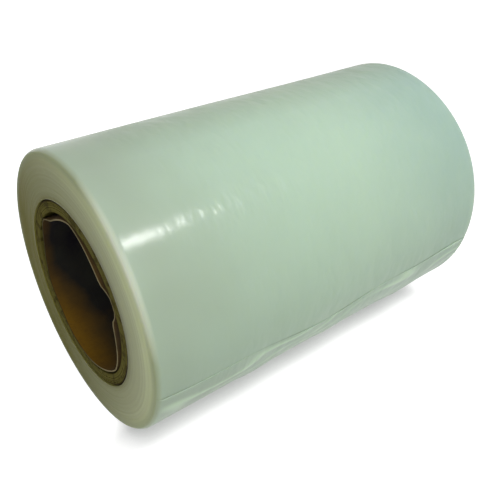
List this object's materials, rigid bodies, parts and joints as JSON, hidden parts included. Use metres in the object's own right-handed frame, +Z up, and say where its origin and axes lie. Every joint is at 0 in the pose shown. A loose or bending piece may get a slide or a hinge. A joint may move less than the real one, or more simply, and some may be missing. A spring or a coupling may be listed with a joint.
{
  "type": "protective film roll",
  "caption": "Roll of milky protective film wound on a spiral-wound paper core, lying on its side, with a wavy loose inner ply at one mouth of the core.",
  "frame": {"origin": "on the pressed flat under the roll, midway between its ends and below its axis", "axes": "+X along the roll's axis, away from the mouth with the loose ply; +Z up"},
  "size_m": [0.203, 0.133, 0.1326],
  "materials": {
    "film": "satin, milky and slightly green",
    "core_board": "matt",
    "core_ply": "matt"
  },
  "bodies": {
    "root": {"film_winding": "film", "core_tube": "core_board", "core_inner_ply": "core_ply"}
  },
  "joints": []
}
